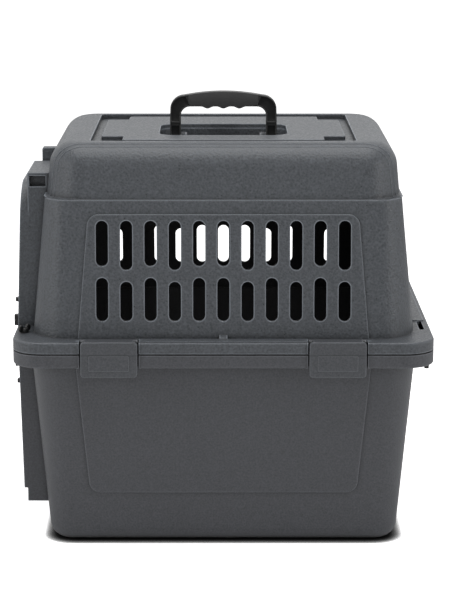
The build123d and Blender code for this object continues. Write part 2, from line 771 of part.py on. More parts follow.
clip_names = ["clip_near_front", "clip_near_rear", "clip_far_front", "clip_far_rear"]
for clip_name, (clip_x, clip_side) in zip(clip_names, clip_places()):
    one_clip = side_clip(clip_x, clip_side)
    one_clip.label = clip_name
    export_step(one_clip, f"parts/{clip_name}.step")

# Clip pins, held in the ends of the flange's notches
with BuildPart() as clip_pins:
    for x, side in clip_places():
        pin_half = clip_width / 2 + clip_side_gap + clip_pin_grip
        with BuildSketch(Plane.YZ.offset(x - pin_half)):
            with Locations((side * clip_pivot_y, clip_pivot_z)):
                Circle(clip_pin_radius)
        extrude(amount=2 * pin_half)
clip_pins.part.label = "clip_pins"
export_step(clip_pins.part, "parts/clip_pins.step")


def upright_rod(x, y, radius, low, high):
    """A round rod along Z."""
    with BuildPart() as rod:
        with BuildSketch(Plane.XY.offset(low)):
            with Locations((x, y)):
                Circle(radius)
        extrude(amount=high - low)
    return rod.part


# Wire door, welded from a rim, upright bars and cross rails, with its hinge rod
with BuildPart() as door_grille:
    rod_reach = hinge_rod_bite
    add(upright_rod(-door_plane, hinge_y, rim_wire_radius, opening_bottom - rod_reach, opening_top + rod_reach))
    add(upright_rod(-door_plane, -hinge_y, rim_wire_radius, door_low, door_high))
    bar_count = 2 * math.floor((rim_half_width - 8) / bar_pitch) + 1
    for index in range(bar_count):
        bar_y = (index - (bar_count - 1) / 2) * bar_pitch
        add(upright_rod(-door_plane, bar_y, bar_wire_radius, door_low, door_high))
    rail_pitch = (door_high - door_low) / (rail_count - 1)
    for index in range(rail_count):
        edge_rail = index in (0, rail_count - 1)
        rail_radius = rim_wire_radius if edge_rail else bar_wire_radius
        rail_x = -door_plane if edge_rail else -door_plane + 2 * bar_wire_radius - weld_depth
        with BuildSketch(Plane.XZ.offset(-rim_half_width)):
            with Locations((rail_x, door_low + index * rail_pitch)):
                Circle(rail_radius)
        extrude(amount=2 * rim_half_width)
    with Locations((-door_plane, hinge_y, door_low), (-door_plane, hinge_y, door_high),
                   (-door_plane, -hinge_y, door_low), (-door_plane, -hinge_y, door_high)):
        Sphere(rim_wire_radius)
door_grille.part.label = "door_grille"
export_step(door_grille.part, "parts/door_grille.step")

# Latch housing on the door's free side
housing_back = door_plane
housing_front = housing_back + latch_housing_depth
housing_middle = (housing_front + housing_back) / 2
hollow_front = housing_front - latch_housing_wall
hollow_back = door_plane + rim_wire_radius + 1.0
hollow_depth = hollow_front - hollow_back
hollow_middle = (hollow_front + hollow_back) / 2
hollow_width = latch_housing_width - 2 * latch_housing_wall
slot_height = 2 * (latch_grip_offset + latch_grip_height + latch_end_room)
with BuildPart() as latch_housing:
    with BuildSketch(Plane.XY.offset(latch_middle - latch_housing_height / 2)):
        with Locations((-housing_middle, latch_y)):
            RectangleRounded(latch_housing_depth, latch_housing_width, 2.5)
    extrude(amount=latch_housing_height)
    for side in (-1, 1):
        half_hollow = (latch_housing_height - 2 * latch_housing_wall - latch_partition) / 2
        with Locations((-hollow_middle, latch_y, latch_middle + side * (latch_partition + half_hollow) / 2)):
            Box(hollow_depth, hollow_width, half_hollow, mode=Mode.SUBTRACT)
    with Locations((-housing_front + latch_housing_wall / 2, latch_y, latch_middle)):
        Box(latch_housing_wall + 1, latch_grip_width + 2 * latch_fit, slot_height, mode=Mode.SUBTRACT)
    with BuildSketch(Plane.XY.offset(latch_middle - latch_housing_height)):
        with Locations((-latch_plane, latch_y)):
            Circle(latch_rod_radius + running_clearance)
    extrude(amount=latch_housing_height * 2, mode=Mode.SUBTRACT)
    with Locations((-hollow_middle, latch_y, latch_middle)):
        Box(hollow_depth, hollow_width, latch_partition)
    add(door_grille.part, mode=Mode.SUBTRACT)
latch_housing.part.label = "latch_housing"
export_step(latch_housing.part, "parts/latch_housing.step")

# Latch slides, rods and springs, one of each above and below the housing's middle
for name, way in (("upper", 1), ("lower", -1)):
    with BuildPart() as latch_slide:
        block_middle = latch_middle + way * (latch_block_offset + latch_block_height / 2)
        with Locations((-hollow_middle, latch_y, block_middle)):
            Box(hollow_depth - 2 * latch_fit, hollow_width - 2 * latch_fit, latch_block_height)
        grip_depth = latch_housing_wall + latch_grip_proud + latch_fit
        grip_x = housing_front + latch_grip_proud - grip_depth / 2
        with Locations((-grip_x, latch_y, latch_middle + way * (latch_grip_offset + latch_grip_height / 2))):
            Box(grip_depth, latch_grip_width, latch_grip_height)
        fillet(latch_slide.faces().sort_by(Axis.X)[0].edges(), latch_grip_edge)
        with BuildSketch(Plane.XY.offset(latch_middle)):
            with Locations((-latch_plane, latch_y)):
                Circle(latch_rod_radius)
        extrude(amount=way * latch_housing_height, mode=Mode.SUBTRACT)
    latch_slide.part.label = f"latch_slide_{name}"
    export_step(latch_slide.part, f"parts/latch_slide_{name}.step")

    rod_start = latch_middle + way * latch_block_offset
    rod_end = opening_top + latch_rod_bite if way > 0 else opening_bottom - latch_rod_bite
    with BuildPart() as latch_rod:
        add(upright_rod(-latch_plane, latch_y, latch_rod_radius, min(rod_start, rod_end), max(rod_start, rod_end)))
        chamfer(latch_rod.edges().sort_by(Axis.Z)[-1 if way > 0 else 0], 0.8)
    latch_rod.part.label = f"latch_rod_{name}"
    export_step(latch_rod.part, f"parts/latch_rod_{name}.step")

    spring_foot = latch_partition / 2
    spring_length = latch_block_offset - spring_foot
    spring_radius = hollow_depth / 2 - 2 * latch_fit
    with BuildPart() as latch_spring:
        with BuildSketch(Plane.XY.offset(latch_middle + way * spring_foot)):
            with Locations((-hollow_middle, latch_y)):
                Circle(spring_radius)
                Circle(spring_radius - latch_spring_wire, mode=Mode.SUBTRACT)
        extrude(amount=way * spring_length)
    latch_spring.part.label = f"latch_spring_{name}"
    export_step(latch_spring.part, f"parts/latch_spring_{name}.step")

# Guides that hold the latch rods on the door's bars above and below the housing
with BuildPart() as latch_guides:
    guide_back = door_plane
    guide_front = latch_plane + latch_guide_nose
    for guide_z in (latch_middle - latch_guide_spread, latch_middle + latch_guide_spread):
        with BuildSketch(Plane.XY.offset(guide_z - latch_guide_height / 2)):
            with Locations((-(guide_front + guide_back) / 2, latch_y)):
                RectangleRounded(guide_front - guide_back, latch_guide_size, 2)
            with Locations((-latch_plane, latch_y)):
                Circle(latch_rod_radius + running_clearance, mode=Mode.SUBTRACT)
        extrude(amount=latch_guide_height)
    add(door_grille.part, mode=Mode.SUBTRACT)
latch_guides.part.label = "latch_guides"
export_step(latch_guides.part, "parts/latch_guides.step")

# Corner bolts at the front and their wing nuts
with BuildPart() as corner_bolts:
    for place in bolt_places:
        add(upright_rod(*place, bolt_radius, lower_flange_top - flange_web - bolt_head_height, flange_top + bolt_end))
        add(upright_rod(*place, bolt_head_radius, lower_flange_top - flange_web - bolt_head_height,
                    lower_flange_top - flange_web))
corner_bolts.part.label = "corner_bolts"
export_step(corner_bolts.part, "parts/corner_bolts.step")

with BuildPart() as wing_nuts:
    for place in bolt_places:
        add(upright_rod(*place, nut_radius, flange_top, flange_top + nut_height))
        for side in (-1, 1):
            turn = math.radians(wing_turn)
            wing_plane = Plane(origin=(place[0], place[1], flange_top),
                               x_dir=(math.sin(turn), math.cos(turn), 0),
                               z_dir=(math.cos(turn), -math.sin(turn), 0))
            with BuildSketch(wing_plane):
                with BuildLine():
                    Polyline((side * bolt_radius, 0), (side * (wing_reach - wing_foot), 0),
                             (side * wing_reach, wing_height), (side * (wing_reach - wing_tip_width), wing_height),
                             (side * bolt_radius, nut_height), close=True)
                make_face()
            extrude(amount=wing_thickness / 2, both=True)
        with BuildSketch(Plane.XY.offset(flange_top)):
            with Locations(place):
                Circle(bolt_radius)
        extrude(amount=20, mode=Mode.SUBTRACT)
wing_nuts.part.label = "wing_nuts"
export_step(wing_nuts.part, "parts/wing_nuts.step")

# Push pegs that join the flanges at the rear corners
with BuildPart() as rear_pegs:
    for place in peg_places:
        add(upright_rod(*place, peg_radius, lower_flange_bottom - peg_drop, lower_flange_top))
        add(upright_rod(*place, peg_head_radius, lower_flange_top, lower_flange_top + peg_head_height))
rear_pegs.part.label = "rear_pegs"
export_step(rear_pegs.part, "parts/rear_pegs.step")
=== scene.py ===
"""Looks of the moulded pet carrier: materials, small modelled pieces, light and camera, in metres."""
import math

import bpy
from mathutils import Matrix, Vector


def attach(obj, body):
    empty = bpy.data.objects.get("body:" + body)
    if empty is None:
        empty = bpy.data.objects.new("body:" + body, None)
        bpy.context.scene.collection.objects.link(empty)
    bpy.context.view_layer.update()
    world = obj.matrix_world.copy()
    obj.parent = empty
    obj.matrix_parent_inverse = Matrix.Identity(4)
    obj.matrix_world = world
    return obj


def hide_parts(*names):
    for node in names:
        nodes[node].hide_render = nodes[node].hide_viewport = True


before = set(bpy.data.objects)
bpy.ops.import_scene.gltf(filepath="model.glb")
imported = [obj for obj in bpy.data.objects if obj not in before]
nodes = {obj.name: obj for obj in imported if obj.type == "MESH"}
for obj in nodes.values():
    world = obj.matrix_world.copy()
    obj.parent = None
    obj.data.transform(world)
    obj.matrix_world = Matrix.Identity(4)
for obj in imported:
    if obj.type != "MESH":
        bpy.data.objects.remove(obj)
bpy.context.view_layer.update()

# Camera: the photograph's view, on the carrier's long side and slightly from above
camera_focal_px = 2100.0
photo_height_px = 614.0
sensor_mm = 36.0
camera_pitch = math.radians(12.3)
camera_back = 2.733
camera_up = 0.8644
object_left_px = 12.6

# Handle, in metres
handle_half = 0.0695
handle_inner = 0.0555
handle_thickness = 0.015
handle_foot = 0.4912
handle_shoulder = 0.5516
handle_outer_round = 0.019
handle_inner_round = 0.012
handle_crown = 0.005
handle_edge = 0.0016
grip_under = 0.5371
grip_half_length = 0.0455
finger_pitch = 0.0207
finger_bump = 0.0027
finger_reach = 0.0085
rib_height = 0.5149
rib_half = 0.0009
foot_length = 0.012
elbow_steps = 7
grip_steps = 22
grip_greyness = 0.75
leg_rim = 0.0016
leg_hollow = 0.0022

# Wing nuts
flange_top = 0.2707
bolt_x = 0.25
bolt_y = 0.16
wing_turn = math.radians(40)
nut_radius = 0.0055
nut_height = 0.006
nut_lobe_reach = 0.0062
nut_lobe_height = 0.0058
nut_lobe_radius = 0.0036
nut_lobe_thickness = 0.0034
nut_lobe_stretch = 1.25
nut_taper = 0.8
nut_edge = 0.0008

# Finishes, with painted edge highlights and painted shade in the cabin, in gaps and grooves and along the
# flange seam
edge_reach = 0.0007
edge_depth = 0.0018
edge_floor = 0.04
edge_contrast = 3.6
grain_softness = 0.6
pore_level = 0.7
cloud_share = 0.12
bump_strength = 0.6
cabin_top = 0.488
cabin_front = -0.228
inward_softness = 0.03
seam_height = 0.2556
seam_half = 0.0011
crevice_reach = 0.008
crevice_depth = 1.1

# Studio, with the painted contact shadow on the floor
contact_shadow_reach = 0.016
contact_shadow_darkness = 5.2
floor_glow = 0.97
fill_strength = 0.18
backdrop_rise = 1.6
side_sheen = 0.2
sky_start = 0.45
sky_rise = 1.8


def aim_camera():
    """Adds the camera at the photograph's viewing angle."""
    data = bpy.data.cameras.new("view_camera")
    data.sensor_width = sensor_mm
    data.lens = camera_focal_px * sensor_mm / photo_height_px
    data.shift_x = object_left_px / photo_height_px
    data.clip_end = 20.0
    camera = bpy.data.objects.new("view_camera", data)
    camera.location = (0.0, -camera_back, camera_up)
    camera.rotation_euler = (math.pi / 2 - camera_pitch, 0.0, 0.0)
    bpy.context.scene.collection.objects.link(camera)
    bpy.context.scene.camera = camera


def add_softbox(name, place, target, size, power):
    """A rectangular lamp that faces a point of the carrier."""
    data = bpy.data.lights.new(name, "AREA")
    data.shape = "RECTANGLE"
    data.size = size[0]
    data.size_y = size[1]
    data.energy = power
    lamp = bpy.data.objects.new(name, data)
    lamp.location = place
    direction = Vector(target) - Vector(place)
    lamp.rotation_euler = direction.to_track_quat("-Z", "Y").to_euler()
    bpy.context.scene.collection.objects.link(lamp)


def link(tree, source, target):
    """Joins two sockets."""
    tree.links.new(source, target)


def math_node(tree, operation, first, second):
    """A Math node whose inputs are sockets or plain numbers."""
    node = tree.nodes.new("ShaderNodeMath")
    node.operation = operation
    for socket, value in zip(node.inputs, (first, second)):
        if isinstance(value, (int, float)):
            socket.default_value = value
        else:
            link(tree, value, socket)
    return node.outputs[0]


def new_group(name, inputs, outputs):
    """A shader node group with named float inputs and outputs."""
    group = bpy.data.node_groups.new(name, "ShaderNodeTree")
    for label, default in inputs:
        socket = group.interface.new_socket(label, in_out="INPUT", socket_type="NodeSocketFloat")
        socket.default_value = default
    for label, kind in outputs:
        group.interface.new_socket(label, in_out="OUTPUT", socket_type=kind)
    return group, group.nodes.new("NodeGroupInput"), group.nodes.new("NodeGroupOutput")


def moulded_grain_group():
    """Fine leather-like grain of a moulded plastic surface, with broad faint clouding."""
    inputs = [("Grain Size", 0.0011), ("Cloud Size", 0.09), ("Speckle", 0.3)]
    outputs = [("Height", "NodeSocketFloat"), ("Shade", "NodeSocketFloat")]
    group, entry, exit_node = new_group("moulded_grain", inputs, outputs)
    coordinates = group.nodes.new("ShaderNodeTexCoord").outputs["Object"]
    pebbles = group.nodes.new("ShaderNodeTexVoronoi")
    pebbles.feature = "SMOOTH_F1"
    pebbles.inputs["Smoothness"].default_value = grain_softness
    link(group, coordinates, pebbles.inputs["Vector"])
    link(group, math_node(group, "DIVIDE", 1.0, entry.outputs["Grain Size"]), pebbles.inputs["Scale"])
    dust = group.nodes.new("ShaderNodeTexNoise")
    dust.inputs["Detail"].default_value = 3.0
    link(group, coordinates, dust.inputs["Vector"])
    link(group, math_node(group, "DIVIDE", 1.0, entry.outputs["Grain Size"]), dust.inputs["Scale"])
    clouds = group.nodes.new("ShaderNodeTexNoise")
    clouds.inputs["Detail"].default_value = 4.0
    link(group, coordinates, clouds.inputs["Vector"])
    link(group, math_node(group, "DIVIDE", 1.0, entry.outputs["Cloud Size"]), clouds.inputs["Scale"])
    height = math_node(group, "ADD", pebbles.outputs["Distance"], math_node(
        group, "MULTIPLY", dust.outputs["Fac"], 0.6))
    link(group, height, exit_node.inputs["Height"])
    pores = math_node(group, "ADD", dust.outputs["Fac"], math_node(
        group, "MULTIPLY", pebbles.outputs["Distance"], 0.5))
    pore_contrast = math_node(group, "SUBTRACT", pores, pore_level)
    speckle = math_node(group, "MULTIPLY", pore_contrast, entry.outputs["Speckle"])
    cloud_contrast = math_node(group, "SUBTRACT", clouds.outputs["Fac"], 0.5)
    cloud = math_node(group, "MULTIPLY", cloud_contrast, cloud_share)
    shade = math_node(group, "ADD", math_node(group, "ADD", speckle, cloud), 1.0)
    link(group, shade, exit_node.inputs["Shade"])
    return group


def painted_edge_highlight_group():
    """A mask of the thin places along outer edges, where a pale highlight is painted, and the normal that
    rounds them.
    """
    inputs = [("Strength", 0.35)]
    outputs = [("Mask", "NodeSocketFloat"), ("Normal", "NodeSocketVector")]
    group, entry, exit_node = new_group("painted_edge_highlight", inputs, outputs)
    bevel = group.nodes.new("ShaderNodeBevel")
    bevel.samples = 6
    bevel.inputs["Radius"].default_value = edge_reach
    thin = group.nodes.new("ShaderNodeAmbientOcclusion")
    thin.inside = True
    thin.samples = 8
    thin.inputs["Distance"].default_value = edge_depth
    away = math_node(group, "SUBTRACT", math_node(group, "SUBTRACT", 1.0, thin.outputs["AO"]), edge_floor)
    raised = math_node(group, "MAXIMUM", math_node(group, "MULTIPLY", away, edge_contrast), 0.0)
    rim = math_node(group, "MINIMUM", raised, 1.0)
    mask = math_node(group, "MULTIPLY", rim, entry.outputs["Strength"])
    link(group, mask, exit_node.inputs["Mask"])
    link(group, bevel.outputs["Normal"], exit_node.inputs["Normal"])
    return group


def place_group(tree, group, values):
    """Puts a group into a material with its own values."""
    node = tree.nodes.new("ShaderNodeGroup")
    node.node_tree = group
    for label, value in values.items():
        node.inputs[label].default_value = value
    return node


def cabin_shade_mask_group():
    """A mask of the surfaces that face the middle of the carrier, the cabin's walls and the slots' sides, for
    painted shade.
    """
    outputs = [("Mask", "NodeSocketFloat")]
    group, entry, exit_node = new_group("painted_cabin_shade_mask", [("Softness", inward_softness)], outputs)
    level = group.nodes.new("ShaderNodeVectorMath")
    level.operation = "MULTIPLY"
    coordinates = group.nodes.new("ShaderNodeTexCoord").outputs["Object"]
    link(group, coordinates, level.inputs[0])
    level.inputs[1].default_value = (1.0, 1.0, 0.0)
    facing = group.nodes.new("ShaderNodeVectorMath")
    facing.operation = "DOT_PRODUCT"
    link(group, level.outputs["Vector"], facing.inputs[0])
    link(group, group.nodes.new("ShaderNodeNewGeometry").outputs["True Normal"], facing.inputs[1])
    inward = math_node(group, "DIVIDE", math_node(group, "MULTIPLY", facing.outputs["Value"], -1.0),
                       entry.outputs["Softness"])
    height = group.nodes.new("ShaderNodeSeparateXYZ")
    link(group, coordinates, height.inputs[0])
    below_well = math_node(group, "LESS_THAN", height.outputs["Z"], cabin_top)
    mask = math_node(group, "MAXIMUM", math_node(group, "MINIMUM", inward, 1.0), 0.0)
    behind_frame = math_node(group, "GREATER_THAN", height.outputs["X"], cabin_front)
    mask = math_node(group, "MULTIPLY", mask, math_node(group, "MULTIPLY", below_well, behind_frame))
    link(group, mask, exit_node.inputs["Mask"])
    return group


def painted_crevice_shade_group():
    """How open a place is, which sets painted shade: small in gaps and grooves, and along the seam between
    the two flanges.
    """
    outputs = [("Openness", "NodeSocketFloat")]
    group, entry, exit_node = new_group("painted_crevice_shade", [("Depth", crevice_depth), ("Seam Shade", 0.1)], outputs)
    around = group.nodes.new("ShaderNodeAmbientOcclusion")
    around.samples = 8
    around.inputs["Distance"].default_value = crevice_reach
    place = group.nodes.new("ShaderNodeSeparateXYZ")
    link(group, group.nodes.new("ShaderNodeTexCoord").outputs["Object"], place.inputs[0])
    above_seam = math_node(group, "SUBTRACT", place.outputs["Z"], seam_height)
    from_seam = math_node(group, "ABSOLUTE", above_seam, 0.0)
    clear_of_seam = math_node(group, "MAXIMUM", math_node(group, "GREATER_THAN", from_seam, seam_half),
                              entry.outputs["Seam Shade"])
    openness = math_node(group, "POWER", around.outputs["AO"], entry.outputs["Depth"])
    link(group, math_node(group, "MULTIPLY", openness, clear_of_seam), exit_node.inputs["Openness"])
    return group


def paint_cabin_shade(material):
    """Paints shade on the surfaces that face inward, darkening them as in the unlit cabin."""
    tree = material.node_tree
    shader = tree.nodes["Principled BSDF"]
    base = shader.inputs["Base Color"].links[0].from_socket
    inward = place_group(tree, cabin_shade_group, {"Softness": inward_softness})
    cabin_shade_mix = tree.nodes.new("ShaderNodeMix")
    cabin_shade_mix.data_type = "RGBA"
    link(tree, inward.outputs["Mask"], cabin_shade_mix.inputs["Factor"])
    link(tree, base, cabin_shade_mix.inputs["A"])
    cabin_shade_mix.inputs["B"].default_value = (0.008, 0.008, 0.009, 1.0)
    link(tree, cabin_shade_mix.outputs["Result"], shader.inputs["Base Color"])


def moulded_plastic(name, colour, roughness, grain_size, grain_depth, speckle, edge_highlight_strength, edge_highlight_tone,
                    seam_shade=0.1):
    """Injection-moulded plastic with grain, clouding, painted highlights along its edges and painted shade in
    gaps, grooves and along the flange seam.
    """
    material = bpy.data.materials.new(name)
    material.use_nodes = True
    tree = material.node_tree
    shader = tree.nodes["Principled BSDF"]
    grain = place_group(tree, grain_group, {"Grain Size": grain_size, "Speckle": speckle})
    edges = place_group(tree, edge_highlight_group, {"Strength": edge_highlight_strength})
    tint = tree.nodes.new("ShaderNodeMix")
    tint.data_type = "RGBA"
    tint.blend_type = "MULTIPLY"
    tint.inputs["Factor"].default_value = 1.0
    tint.inputs["A"].default_value = (*colour, 1.0)
    link(tree, grain.outputs["Shade"], tint.inputs["B"])
    # Painted highlight: the colour is lightened along the outer edges.
    highlighted = tree.nodes.new("ShaderNodeMix")
    highlighted.data_type = "RGBA"
    link(tree, edges.outputs["Mask"], highlighted.inputs["Factor"])
    link(tree, tint.outputs["Result"], highlighted.inputs["A"])
    highlighted.inputs["B"].default_value = (*[edge_highlight_tone * channel / colour[1] for channel in colour], 1.0)
    # Painted shade: the colour goes towards black in gaps and grooves and along the seam between the flanges.
    painted_crevice_shade = place_group(tree, crevice_shade_group, {"Depth": crevice_depth, "Seam Shade": seam_shade})
    shaded = tree.nodes.new("ShaderNodeMix")
    shaded.data_type = "RGBA"
    link(tree, painted_crevice_shade.outputs["Openness"], shaded.inputs["Factor"])
    shaded.inputs["A"].default_value = (0.004, 0.004, 0.004, 1.0)
    link(tree, highlighted.outputs["Result"], shaded.inputs["B"])
    link(tree, shaded.outputs["Result"], shader.inputs["Base Color"])
    gloss = math_node(tree, "MULTIPLY", grain.outputs["Shade"], roughness)
    link(tree, gloss, shader.inputs["Roughness"])
    bump = tree.nodes.new("ShaderNodeBump")
    bump.inputs["Distance"].default_value = grain_depth
    bump.inputs["Strength"].default_value = bump_strength
    link(tree, grain.outputs["Height"], bump.inputs["Height"])
    link(tree, edges.outputs["Normal"], bump.inputs["Normal"])
    link(tree, bump.outputs["Normal"], shader.inputs["Normal"])
    shader.inputs["Specular IOR Level"].default_value = 0.4
    return material


def drawn_metal(name, colour, roughness):
    """Drawn or plated steel wire with faint streaks."""
    material = bpy.data.materials.new(name)
    material.use_nodes = True
    tree = material.node_tree
    shader = tree.nodes["Principled BSDF"]
    shader.inputs["Metallic"].default_value = 1.0
    grain = place_group(tree, grain_group, {"Grain Size": 0.0006, "Speckle": 0.2})
    tint = tree.nodes.new("ShaderNodeMix")
    tint.data_type = "RGBA"
    tint.blend_type = "MULTIPLY"
    tint.inputs["Factor"].default_value = 1.0
    tint.inputs["A"].default_value = (*colour, 1.0)
    link(tree, grain.outputs["Shade"], tint.inputs["B"])
    link(tree, tint.outputs["Result"], shader.inputs["Base Color"])
    link(tree, math_node(tree, "MULTIPLY", grain.outputs["Shade"], roughness), shader.inputs["Roughness"])
    bump = tree.nodes.new("ShaderNodeBump")
    bump.inputs["Distance"].default_value = 0.00003
    link(tree, grain.outputs["Height"], bump.inputs["Height"])
    link(tree, bump.outputs["Normal"], shader.inputs["Normal"])
    return material


def dress(node_name, material):
    """Gives a CAD node its finish."""
    mesh = nodes[node_name].data
    mesh.materials.clear()
    mesh.materials.append(material)


def pale_floor():
    """A plain pale floor, white to the camera except for a painted contact shadow, a dark line under the
    carrier.
    """
    bpy.ops.mesh.primitive_plane_add(size=60.0, location=(0.0, 0.0, -0.0002))
    floor = bpy.context.object
    floor.name = "floor"
    material = bpy.data.materials.new("pale_floor")
    material.use_nodes = True
    tree = material.node_tree
    shader = tree.nodes["Principled BSDF"]
    # Painted contact shadow: for camera rays the floor's colour and glow go dark near the carrier.
    contact = tree.nodes.new("ShaderNodeAmbientOcclusion")
    contact.inputs["Distance"].default_value = contact_shadow_reach
    contact.samples = 12
    clear_of_shadow = math_node(tree, "POWER", contact.outputs["AO"], contact_shadow_darkness)
    path = tree.nodes.new("ShaderNodeLightPath")
    unseen = math_node(tree, "SUBTRACT", 1.0, path.outputs["Is Camera Ray"])
    painted_shadow_tone = tree.nodes.new("ShaderNodeMix")
    painted_shadow_tone.data_type = "RGBA"
    link(tree, math_node(tree, "MAXIMUM", clear_of_shadow, unseen), painted_shadow_tone.inputs["Factor"])
    painted_shadow_tone.inputs["A"].default_value = (0.01, 0.01, 0.01, 1.0)
    painted_shadow_tone.inputs["B"].default_value = (0.9, 0.9, 0.9, 1.0)
    link(tree, painted_shadow_tone.outputs["Result"], shader.inputs["Base Color"])
    shader.inputs["Roughness"].default_value = 0.95
    shader.inputs["Specular IOR Level"].default_value = 0.0
    shader.inputs["Emission Color"].default_value = (1.0, 1.0, 1.0, 1.0)
    glow = math_node(tree, "MULTIPLY", path.outputs["Is Camera Ray"], floor_glow)
    link(tree, math_node(tree, "MULTIPLY", glow, clear_of_shadow), shader.inputs["Emission Strength"])
    floor.data.materials.append(material)


def studio_world():
    """Weak light from all round for the surfaces, and white for the camera and for reflections."""
    world = bpy.data.worlds.new("studio")
    bpy.context.scene.world = world
    world.use_nodes = True
    tree = world.node_tree
    background = tree.nodes["Background"]
    path = tree.nodes.new("ShaderNodeLightPath")
    seen = math_node(tree, "MAXIMUM", path.outputs["Is Camera Ray"], path.outputs["Is Transmission Ray"])
    background.inputs["Color"].default_value = (1.0, 1.0, 1.0, 1.0)
    direction = tree.nodes.new("ShaderNodeSeparateXYZ")
    link(tree, tree.nodes.new("ShaderNodeTexCoord").outputs["Generated"], direction.inputs[0])
    towards_back = math_node(tree, "MULTIPLY", direction.outputs["Y"], backdrop_rise)
    behind = math_node(tree, "ADD", towards_back, side_sheen)
    over_start = math_node(tree, "SUBTRACT", direction.outputs["Z"], sky_start)
    above = math_node(tree, "MULTIPLY", over_start, sky_rise)
    bright = math_node(tree, "MINIMUM", math_node(tree, "MAXIMUM", behind, above), 1.0)
    mirrored = math_node(tree, "MULTIPLY", path.outputs["Is Glossy Ray"], bright)
    strength = math_node(tree, "MAXIMUM", math_node(tree, "MAXIMUM", seen, mirrored), fill_strength)
    link(tree, strength, background.inputs["Strength"])


def handle_finish():
    """Black handle plastic, greyer on the grip between the two elbows, with painted shade in the hollows of
    the legs.
    """
    material = moulded_plastic(
        "handle_finish", (0.0016, 0.0016, 0.0016), roughness=0.42, grain_size=0.0014, grain_depth=0.0002,
        speckle=0.6, edge_highlight_strength=0.8, edge_highlight_tone=0.045)
    tree = material.node_tree
    shader = tree.nodes["Principled BSDF"]
    place = tree.nodes.new("ShaderNodeSeparateXYZ")
    link(tree, tree.nodes.new("ShaderNodeTexCoord").outputs["Object"], place.inputs[0])
    along = math_node(tree, "ABSOLUTE", place.outputs["X"], 0.0)
    on_grip = math_node(tree, "LESS_THAN", along, grip_half_length)
    base = shader.inputs["Base Color"].links[0].from_socket
    lift = tree.nodes.new("ShaderNodeMix")
    lift.data_type = "RGBA"
    link(tree, math_node(tree, "MULTIPLY", on_grip, grip_greyness), lift.inputs["Factor"])
    link(tree, base, lift.inputs["A"])
    lift.inputs["B"].default_value = (0.05, 0.05, 0.05, 1.0)
    # Painted shade in the hollows of the legs: their sunken side faces go darker.
    across = math_node(tree, "ABSOLUTE", place.outputs["Y"], 0.0)
    facing = tree.nodes.new("ShaderNodeSeparateXYZ")
    link(tree, tree.nodes.new("ShaderNodeTexCoord").outputs["Normal"], facing.inputs[0])
    sideways = math_node(tree, "GREATER_THAN", math_node(tree, "ABSOLUTE", facing.outputs["Y"], 0.0), 0.6)
    sunken = math_node(tree, "LESS_THAN", across, handle_thickness / 2 - leg_hollow * 0.6)
    hollow_shade_mask = math_node(tree, "MULTIPLY", sideways, sunken)
    painted_hollow_shade = tree.nodes.new("ShaderNodeMix")
    painted_hollow_shade.data_type = "RGBA"
    link(tree, hollow_shade_mask, painted_hollow_shade.inputs["Factor"])
    link(tree, lift.outputs["Result"], painted_hollow_shade.inputs["A"])
    painted_hollow_shade.inputs["B"].default_value = (0.0012, 0.0012, 0.0012, 1.0)
    link(tree, painted_hollow_shade.outputs["Result"], shader.inputs["Base Color"])
    return material


def spring_finish():
    """Steel with the turns of a coil drawn round the tube that stands for the spring."""
    material = drawn_metal("spring_finish", (0.5, 0.5, 0.51), 0.35)
    tree = material.node_tree
    shader = tree.nodes["Principled BSDF"]
    turns = tree.nodes.new("ShaderNodeTexWave")
    turns.wave_type = "BANDS"
    turns.bands_direction = "Z"
    turns.inputs["Scale"].default_value = 160.0
    link(tree, tree.nodes.new("ShaderNodeTexCoord").outputs["Object"], turns.inputs["Vector"])
    bump = tree.nodes.new("ShaderNodeBump")
    bump.inputs["Distance"].default_value = 0.0006
    link(tree, turns.outputs["Fac"], bump.inputs["Height"])
    link(tree, bump.outputs["Normal"], shader.inputs["Normal"])
    return material


def begin_piece():
    """Starts a modelled piece from nothing selected."""
    if bpy.context.object and bpy.context.object.mode != "OBJECT":
        bpy.ops.object.mode_set(mode="OBJECT")
    bpy.ops.object.select_all(action="DESELECT")


def select_faces(piece, wanted):
    """Selects the faces whose middle and normal answer to a test."""
    bpy.ops.object.mode_set(mode="EDIT")
    bpy.ops.mesh.select_mode(type="FACE")
    bpy.ops.mesh.select_all(action="DESELECT")
    bpy.ops.object.mode_set(mode="OBJECT")
    for face in piece.data.polygons:
        face.select = wanted(face.center, face.normal)
    bpy.ops.object.mode_set(mode="EDIT")


def extrude_section(step, pivot, turn_back, widen, turn):
    """Carries the selected end of a bar on to its next section."""
    bpy.ops.mesh.extrude_region_move(TRANSFORM_OT_translate={"value": step})
    bpy.ops.transform.rotate(value=turn_back, orient_axis="Y", center_override=pivot)
    bpy.ops.transform.resize(value=(widen, 1.0, 1.0), center_override=pivot)
    bpy.ops.transform.rotate(value=turn, orient_axis="Y", center_override=pivot)


